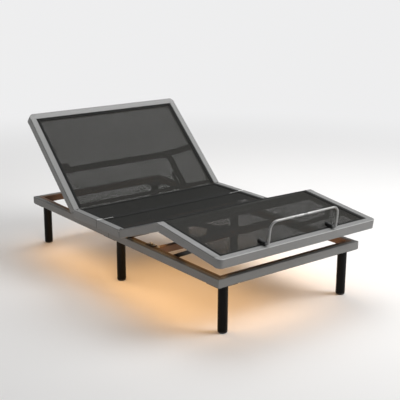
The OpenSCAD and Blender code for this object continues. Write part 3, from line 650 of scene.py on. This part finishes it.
def sling(name, colour, open_share, roughness=0.62):
    """Open woven fabric: yarns with gaps that really let light and sight through."""
    made, tree, shader = material(name, colour, roughness)
    weave = use_group(tree, weave_group, Pitch=yarn_pitch, Open=open_share)
    toned = vector_maths(tree, "SCALE", "Vector", colour, Scale=weave.outputs["Tone"])
    shaded = tuple(0.35 * part for part in colour)
    tree.links.new(blend_colour(tree, weave.outputs["Height"], shaded, toned), shader.inputs["Base Color"])
    tree.links.new(weave.outputs["Cover"], shader.inputs["Alpha"])
    bump = add_node(tree, "ShaderNodeBump", Strength=0.5, Distance=0.0005)
    tree.links.new(weave.outputs["Height"], bump.inputs["Height"])
    tree.links.new(bump.outputs["Normal"], shader.inputs["Normal"])
    shader.inputs["Sheen Weight"].default_value = 0.02
    shader.inputs["Sheen Roughness"].default_value = 0.5
    shader.inputs["Specular IOR Level"].default_value = 0.14
    return made


def straight(origin, tilt, way):
    """A path down the middle of a flat section: s metres from its hinge gives a point and a normal."""
    run = Vector(turned(tilt, (0, way, 0)))
    up = Vector(turned(tilt, upwards))
    corner = origin + up * hinge_drop
    return lambda s: (corner + run * s, up)


head_path = straight(joint_at["head_lift"], head_tilt, 1)
thigh_path = straight(joint_at["leg_lift"], thigh_tilt, -1)
seat_path = straight(joint_at["head_lift"], 0.0, -1)
seat_start = joint_at["head_lift"].y
seat_length = seat_start - joint_at["leg_lift"].y
knee_offset = joint_at["knee_bend"] - joint_at["leg_lift"]
thigh_length = -knee_offset.y * cos(thigh_tilt) - knee_offset.z * sin(thigh_tilt)


def over_the_knee(s):
    """Path from the thigh hinge over the rounded knee to the foot rail."""
    knuckle = rail_depth / 2
    bend = calf_tilt - thigh_tilt
    if s < thigh_length:
        return thigh_path(s)
    knee_at = joint_at["knee_bend"]
    swing = min((s - thigh_length) / knuckle, bend)
    up = Vector(turned(thigh_tilt + swing, upwards))
    run = Vector(turned(thigh_tilt + swing, (0, -1, 0)))
    rest = max(0.0, s - thigh_length - bend * knuckle)
    return knee_at + up * knuckle + run * rest, up


def x_at(point, x):
    """The same point, moved sideways to x."""
    return Vector((x, point.y, point.z))


def laid_face(mesh, layer, ring):
    """A face through (vertex, flat place) pairs; the flat places become its UVs."""
    face = mesh.faces.new([vert for vert, _ in ring])
    for loop, (_, flat) in zip(face.loops, ring):
        loop[layer].uv = flat


def cloth(path, s_range, x_range, lift, sag=0.0, steps=(48, 64)):
    """A single sheet on a path, sagging a little in the middle. Its flat cut is the UV map, in metres."""
    mesh = bmesh.new()
    layer = mesh.loops.layers.uv.new("UVMap")
    rows = []
    for i in range(steps[0] + 1):
        u = i / steps[0]
        s = s_range[0] + (s_range[1] - s_range[0]) * u
        point, up = path(s)
        row = []
        for k in range(steps[1] + 1):
            v = k / steps[1]
            x = x_range[0] + (x_range[1] - x_range[0]) * v
            dip = sag * (1 - (2 * u - 1) ** 2) * (1 - (2 * v - 1) ** 2)
            row.append((mesh.verts.new(x_at(point + up * (lift - dip), x)), (x, s)))
        rows.append(row)
    for low, high in zip(rows, rows[1:]):
        for k in range(steps[1]):
            laid_face(mesh, layer, [low[k], low[k + 1], high[k + 1], high[k]])
    return mesh


def band(mesh, path, s_range, x_range, lift, thick):
    """A closed flat strip on a path with softly rounded long edges, added to mesh."""
    layer = mesh.loops.layers.uv.verify()
    edge = min(thick, 0.003)
    (s0, s1), (x0, x1) = s_range, x_range
    across = s1 - s0 < x1 - x0
    near, far = (s0, s1) if across else (x0, x1)
    soft = [(0, 0.3), (0, 0.7), (0.35, 1), (1, 1)]
    profile = [(near + edge * a, lift + thick * h) for a, h in soft]
    profile += [(far - edge * a, lift + thick * h) for a, h in reversed(soft)]
    profile += [(far, lift), (near, lift)]
    if across:
        ends = [[(s, up, x) for s, up in profile] for x in (x0, x0 + (x1 - x0) / 2, x1)]
    else:
        count = max(1, int((s1 - s0) / 0.02))
        ends = [[(s0 + (s1 - s0) * i / count, up, x) for x, up in profile] for i in range(count + 1)]
    rings = []
    for ring in ends:
        verts = []
        for s, height, x in ring:
            point, up = path(s)
            verts.append((mesh.verts.new(x_at(point + up * height, x)), (x, s)))
        rings.append(verts)
    size = len(profile)
    for a, b in zip(rings, rings[1:]):
        for i in range(size):
            laid_face(mesh, layer, [a[i], a[(i + 1) % size], b[(i + 1) % size], b[i]])
    for ring in (rings[0], rings[-1]):
        mesh.faces.new([vert for vert, _ in ring])


def stitches(mesh, path, s_range, x_range, lift, step=0.008, size=0.0005, length=0.0055):
    """A row of thread stitches along s (one x) or along x (one s), each a low six-sided ridge."""
    along_s = x_range[0] == x_range[1]
    total = s_range[1] - s_range[0] if along_s else x_range[1] - x_range[0]
    for i in range(int(total / step)):
        offset = (i + 0.5) * step
        ends = []
        for part in (-0.5, 0.5):
            s = s_range[0] + (offset + part * length if along_s else 0)
            x = x_range[0] + (0 if along_s else offset + part * length)
            point, up = path(s)
            centre = x_at(point + up * lift, x)
            side = Vector(sideways) if along_s else up.cross(Vector(sideways))
            spread = side * size * 1.4
            height = up * size
            ends.append([mesh.verts.new(centre + spread * cos(pi * k / 3) + height * sin(pi * k / 3))
                         for k in range(6)])
        for k in range(6):
            mesh.faces.new([ends[0][k], ends[0][(k + 1) % 6], ends[1][(k + 1) % 6], ends[1][k]])
        mesh.faces.new(ends[0])
        mesh.faces.new(ends[1])


# The hems are the same weave, folded double, so that no gaps are left in it
panel_lift = -0.005
hem_width = 0.019
hem_thick = 0.0022
hem_lift = panel_lift + 0.0003
hinge_clearance = 0.010
thread_lift = panel_lift + 0.0026
thread_insets = (0.005, hem_width - 0.004)
head_sling = sling("head_sling", (0.024, 0.0234, 0.0198), 0.125)
seat_sling = sling("seat_sling", (0.0145, 0.0145, 0.0125), 0.14)
leg_sling = sling("leg_sling", (0.021, 0.0204, 0.0170), 0.092)
hem_black = sling("hem_black", (0.010, 0.010, 0.009), -1.0, 0.7)
thread_grey = coated("hem_thread", (0.05, 0.05, 0.05), 0.7, flecks=0.3, dust=0.0, peel=0.3)


def panel(name, path, s_range, weave, node_names, body, sag, first_hem=True):
    """Sheet, hem and thread of one panel. Without its first end hem, the side hems stop short of the
    hinge there. Returns the three pieces."""
    inside = rail_inside - 0.0005
    mesh = cloth(path, s_range, (-inside, inside), panel_lift, sag)
    sheet = add_piece(name, mesh, body, weave, node_names, 0)
    s0, s1 = s_range
    side_start = s0 if first_hem else s0 + hinge_clearance
    end_hems = [s0, s1 - hem_width] if first_hem else [s1 - hem_width]
    hem = bmesh.new()
    for side in (-1, 1):
        edge = sorted((side * inside, side * (inside - hem_width)))
        band(hem, path, (side_start, s1), edge, hem_lift, hem_thick)
    for s in end_hems:
        band(hem, path, (s, s + hem_width), (hem_width - inside, inside - hem_width), hem_lift, hem_thick)
    hem_piece = add_piece(name + "_hem", hem, body, hem_black)
    thread = bmesh.new()
    for side in (-1, 1):
        for inset in thread_insets:
            x = side * (inside - inset)
            stitches(thread, path, (side_start + 0.004, s1 - 0.004), (x, x), thread_lift)
    for s in end_hems:
        for inset in thread_insets:
            stitches(thread, path, (s + inset, s + inset), (0.03 - inside, inside - 0.03), thread_lift)
    thread_piece = add_piece(name + "_thread", thread, body, thread_grey)
    return sheet, hem_piece, thread_piece


def end_of(node, corner, joint, run):
    """How far along run a CAD panel's low (0) or high (1) corner lies from a joint, to the millimetre."""
    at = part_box(node)[corner]
    return round((Vector((0, at.y, at.z)) - joint_at[joint]).dot(run), 3)


head_run = Vector(turned(head_tilt, lengthways))
calf_run = Vector(turned(calf_tilt, (0, -1, 0)))
knee_arc = (calf_tilt - thigh_tilt) * rail_depth / 2
head_end = end_of("head_mesh", 1, "head_lift", head_run)
seam_s = seat_start - (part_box("seat_mesh_head")[0].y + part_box("seat_mesh_foot")[1].y) / 2
leg_end = thigh_length + knee_arc + end_of("calf_mesh", 0, "knee_bend", calf_run)
panels = [
    panel("head_panel", head_path, (0.002, head_end), head_sling, ["head_mesh"], "head", 0.004, False),
    panel("seat_panel_head", seat_path, (0.002, seam_s - 0.001), seat_sling, ["seat_mesh_head"], "base",
          0.0015),
    panel("seat_panel_foot", seat_path, (seam_s + 0.001, seat_length - 0.002), seat_sling,
          ["seat_mesh_foot"], "base", 0.0015),
]
leg_panel = panel("leg_panel", over_the_knee, (0.002, leg_end), leg_sling, ["thigh_mesh", "calf_mesh"],
                  "thigh", 0.003)
knee_from, _ = over_the_knee(thigh_length - 0.012)
knee_to, _ = over_the_knee(thigh_length + 0.012 + knee_arc)
# These three come off their body and keep their place
for piece in leg_panel:
    piece.parent = None
    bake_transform(piece)


# ---- Seat liner ----
# Black non-woven cloth stretched under the seat mesh, over the cross rails, so that the motors and the
# light don't show through the seat. It stops short of the thigh hinge.
felt, tree, shader = material("liner_felt", (0.006, 0.006, 0.006), 0.95)
shader.inputs["Specular IOR Level"].default_value = 0.1
fibres = add_node(tree, "ShaderNodeTexNoise", Scale=900.0, Detail=4.0)
tree.links.new(add_node(tree, "ShaderNodeTexCoord").outputs["Object"], fibres.inputs["Vector"])
tree.links.new(blend_colour(tree, fibres.outputs["Fac"], (0.002, 0.002, 0.002), (0.011, 0.011, 0.010)),
               shader.inputs["Base Color"])
bump = add_node(tree, "ShaderNodeBump", Strength=0.4, Distance=0.0006)
tree.links.new(fibres.outputs["Fac"], bump.inputs["Height"])
tree.links.new(bump.outputs["Normal"], shader.inputs["Normal"])
liner_lift = -0.0076
liner_end = seat_length - 0.075
liner_side = rail_inside - 0.001
liner_mesh = cloth(seat_path, (0.004, liner_end), (-liner_side, liner_side), liner_lift, 0, (24, 24))
liner = add_piece("seat_liner", liner_mesh, "base", felt, (), 0)


# ---- Seat joint leaves and hinge screws ----
# A thin bright strap over the joint of the two seat panels at each side; it lies on the rail and
# runs a little way in over the mesh. It is nickel plated.
leaf_nickel = coated("leaf_nickel", (0.88, 0.88, 0.86), 0.32, flecks=0.06, dust=0.02, peel=0.05, metallic=0.4)
finish_node("seam_leaves", leaf_nickel, 0.0003)


def screw(mesh, place, radius):
    """Low pan head with a hex recess, standing on its place's Z."""
    lathe(mesh, [(radius, 0), (radius, 0.0006), (radius * 0.85, 0.0014), (radius * 0.5, 0.0018),
                 (radius * 0.42, 0.0016, 6), (radius * 0.42, 0.0006, 6), (0, 0.0004)], 24, place)


# Black rubber in the joint of the two seat rails, under the leaf
seat_rubber = bmesh.new()
joint_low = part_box("seat_rails_foot")[1].y - rubber_squeeze
joint_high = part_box("seat_rails_head")[0].y + rubber_squeeze
for side in (-1, 1):
    x0, x1 = sorted((side * (rail_inside + rubber_inset), side * (half_width - rubber_inset)))
    block(seat_rubber, (x0, joint_low, deck_top - rail_depth + rubber_inset),
          (x1, joint_high, deck_top - 0.002), 0.0003)
add_piece("seat_joint_rubber", seat_rubber, "base", seal_rubber)

# A black screw in each rail's top holds its hinge block
hinge_screws = bmesh.new()
for x in (rail_width / 2 - half_width, half_width - rail_width / 2):
    for y in (seat_start - 0.009, seat_start - seat_length + 0.010):
        screw(hinge_screws, Matrix.Translation((x, y, deck_top - 0.0002)), 0.0052)
add_piece("hinge_screws", hinge_screws, "base", black_plate, (), 25)


# ---- Bow, rib and head lift ----
# Behind the head mesh a bowed black tube braces the rails. One rib to the right of the middle is
# the track for the lift arm's nylon roller; the arm is welded on the torque tube with its crank.
lift_black = coated("lift_black", (0.02, 0.0195, 0.019), 0.42, flecks=0.2, dust=0.12, peel=0.14)
for name in ("head_bow", "lift_rib", "torque_tube", "lift_arm", "stay_left", "stay_right"):
    finish_node(name, lift_black, 0.0009)
roller_nylon = coated("roller_nylon", (0.11, 0.11, 0.105), 0.4, flecks=0.1, dust=0.05, peel=0.1)
finish_node("lift_roller", roller_nylon, 0.001)


# ---- Motors ----
# Two linear drives: a gear housing moulded in black plastic with its motor can, a round outer tube,
# and a ground steel push rod that ends in a fork. Each hangs on a pin in its bracket.
motor_black = coated("motor_moulding", (0.022, 0.022, 0.023), 0.5, flecks=0.15, dust=0.10, peel=0.5)
rod_steel = coated("rod_steel", (0.55, 0.55, 0.54), 0.22, flecks=0.1, dust=0.03, peel=0.05, metallic=1.0)
for name in ("head_motor", "leg_motor"):
    finish_node(name, motor_black, 0.002)
for name in ("head_motor_rod", "leg_motor_rod"):
    finish_node(name, rod_steel, 0.0008)

# Trim on each drive: the tube's collar and end nut with its rod seal, the can's end cap and cooling
# ribs, a cable socket, and the screws of the gear cover
gear_face = 0.0258
stroke_axis = {joint["name"]: Vector(joint["axis"]).normalized() for joint in frame["joints"]}
for motor, body, upright, nose in (("head_motor", "head_drive", 1, 0.484),
                                   ("leg_motor", "leg_drive", -1, 0.176)):
    axis = stroke_axis[motor + "_stroke"]
    across = Vector(sideways)
    up = across.cross(axis) * upright
    place = Matrix.Translation(joint_at[motor + "_tilt"]) @ Matrix((across, axis, up)).transposed().to_4x4()
    lengthwise = place @ Matrix.Rotation(-pi / 2, 4, "X")
    trim = bmesh.new()
    lathe(trim, [(0.0165, 0.0915), (0.0225, 0.0915), (0.0235, 0.0925), (0.0235, 0.099), (0.021, 0.103),
                 (0.0165, 0.104)], 48, lengthwise)
    lathe(trim, [(0.0165, nose - 0.016), (0.019, nose - 0.016), (0.0196, nose - 0.015),
                 (0.0196, nose - 0.003), (0.0186, nose), (0.0165, nose)], 48, lengthwise)
    can = lengthwise @ Matrix.Translation((-0.038, 0.010, 0))
    for i in range(6):
        at = 0.098 + 0.008 * i
        lathe(trim, [(0.0215, at), (0.0227, at + 0.0008), (0.0227, at + 0.0026), (0.0215, at + 0.0034)],
              48, can)
    lathe(trim, [(0.0215, 0.150), (0.0228, 0.151), (0.0228, 0.162), (0.0218, 0.1645), (0.008, 0.1655),
                 (0, 0.1655)], 48, can)
    block(trim, (-0.008, 0.020, 0.0255), (0.010, 0.036, 0.034), 0.002, place)
    add_piece(motor + "_trim", trim, body, motor_black)
    seal = bmesh.new()
    lathe(seal, [(0.0102, nose - 0.001), (0.0155, nose - 0.001), (0.0155, nose + 0.0016),
                 (0.0125, nose + 0.0026), (0.0102, nose + 0.002)], 48, lengthwise)
    add_piece(motor + "_rod_seal", seal, body, seal_rubber)
    screws = bmesh.new()
    for x in (-0.0235, 0.0235):
        for y in (0.024, 0.086):
            screw(screws, place @ Matrix.Translation((x, y, gear_face)), 0.0032)
            screw(screws, place @ Matrix.Translation((x, y, -gear_face)) @ face_down, 0.0032)
    add_piece(motor + "_screws", screws, body, zinc, (), 25)


# ---- Control box ----
# Black moulded plastic box with a mains socket and three motor sockets, hung under two cross
# members. Its lid closes it from below with four screws and has a row of cooling ribs.
finish_node("control_box", motor_black, 0.002)
box_low, box_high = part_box("control_box")
cover = bmesh.new()
inset = Vector((0.004, 0.004, 0))
cover_top = Vector((box_high.x, box_high.y, box_low.z + 0.001)) - inset
block(cover, box_low + inset - Vector((0, 0, 0.003)), cover_top, 0.0015)
for i in range(9):
    x = box_high.x - 0.020 - 0.008 * i
    block(cover, (x - 0.0018, box_low.y + 0.018, box_low.z - 0.0045),
          (x + 0.0018, box_low.y + 0.060, box_low.z - 0.0025), 0.0006)
add_piece("control_box_cover", cover, "base", motor_black)
cover_screws = bmesh.new()
for x in (box_low.x + 0.012, box_high.x - 0.012):
    for y in (box_low.y + 0.012, box_high.y - 0.012):
        screw(cover_screws, Matrix.Translation((x, y, box_low.z - 0.003)) @ face_down, 0.0035)
add_piece("control_box_screws", cover_screws, "base", zinc, (), 25)


# ---- Retainer ----
# A bent steel bar in satin grey that keeps the mattress from sliding off the foot. Its feet push
# into two turned black sleeves screwed over the hem and the foot rail.
bar_grey = coated("bar_grey", (0.30, 0.30, 0.295), 0.3, flecks=0.12, dust=0.03, peel=0.05, metallic=0.55)
sleeve_black = coated("sleeve_moulding", (0.009, 0.009, 0.009), 0.36, flecks=0.2, dust=0.02, peel=0.2)
finish_node("retainer_bar", bar_grey)
calf_turn = Matrix((sideways, calf_up, calf_run)).transposed().to_4x4()
calf_frame = Matrix.Translation(joint_at["knee_bend"] + Vector(calf_up) * rail_depth / 2) @ calf_turn
sleeve_start = 0.414
sleeve_length = 0.050
sleeve_up = 0.011
sleeve_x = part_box("retainer_sleeves")[1].x - sleeve_up
sleeves = bmesh.new()
for side in (-1, 1):
    place = calf_frame @ Matrix.Translation((side * sleeve_x, sleeve_up, sleeve_start))
    lathe(sleeves, [(0, 0), (0.0088, 0), (0.0104, 0.0012), (0.011, 0.0035), (0.011, 0.0085), (0.0102, 0.0100),
                    (0.0102, 0.0112), (0.0109, 0.0124), (0.0102, 0.0138), (0.0091, 0.0165), (0.0084, 0.0205),
                    (0.0081, 0.0250), (0.0084, 0.0295), (0.0091, 0.0335), (0.0102, 0.0362), (0.0109, 0.0376),
                    (0.0102, 0.0388), (0.0102, 0.0400), (0.011, 0.0415), (0.011, 0.0475), (0.0104, 0.0492),
                    (0.0088, 0.0500), (0.0072, 0.0500), (0.00635, 0.0492), (0.00635, 0.0030), (0, 0.0030)],
          48, place)
    block(sleeves, (side * sleeve_x - 0.009, 0, sleeve_start),
          (side * sleeve_x + 0.009, 0.0045, sleeve_start + sleeve_length), 0.0015, calf_frame)
    for at in (0.006, 0.044):
        block(sleeves, (side * sleeve_x - 0.006, 0.003, sleeve_start + at - 0.005),
              (side * sleeve_x + 0.006, 0.0065, sleeve_start + at + 0.005), 0.001, calf_frame)
add_piece("bar_sleeves", sleeves, "calf", sleeve_black, ["retainer_sleeves"])

low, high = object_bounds()
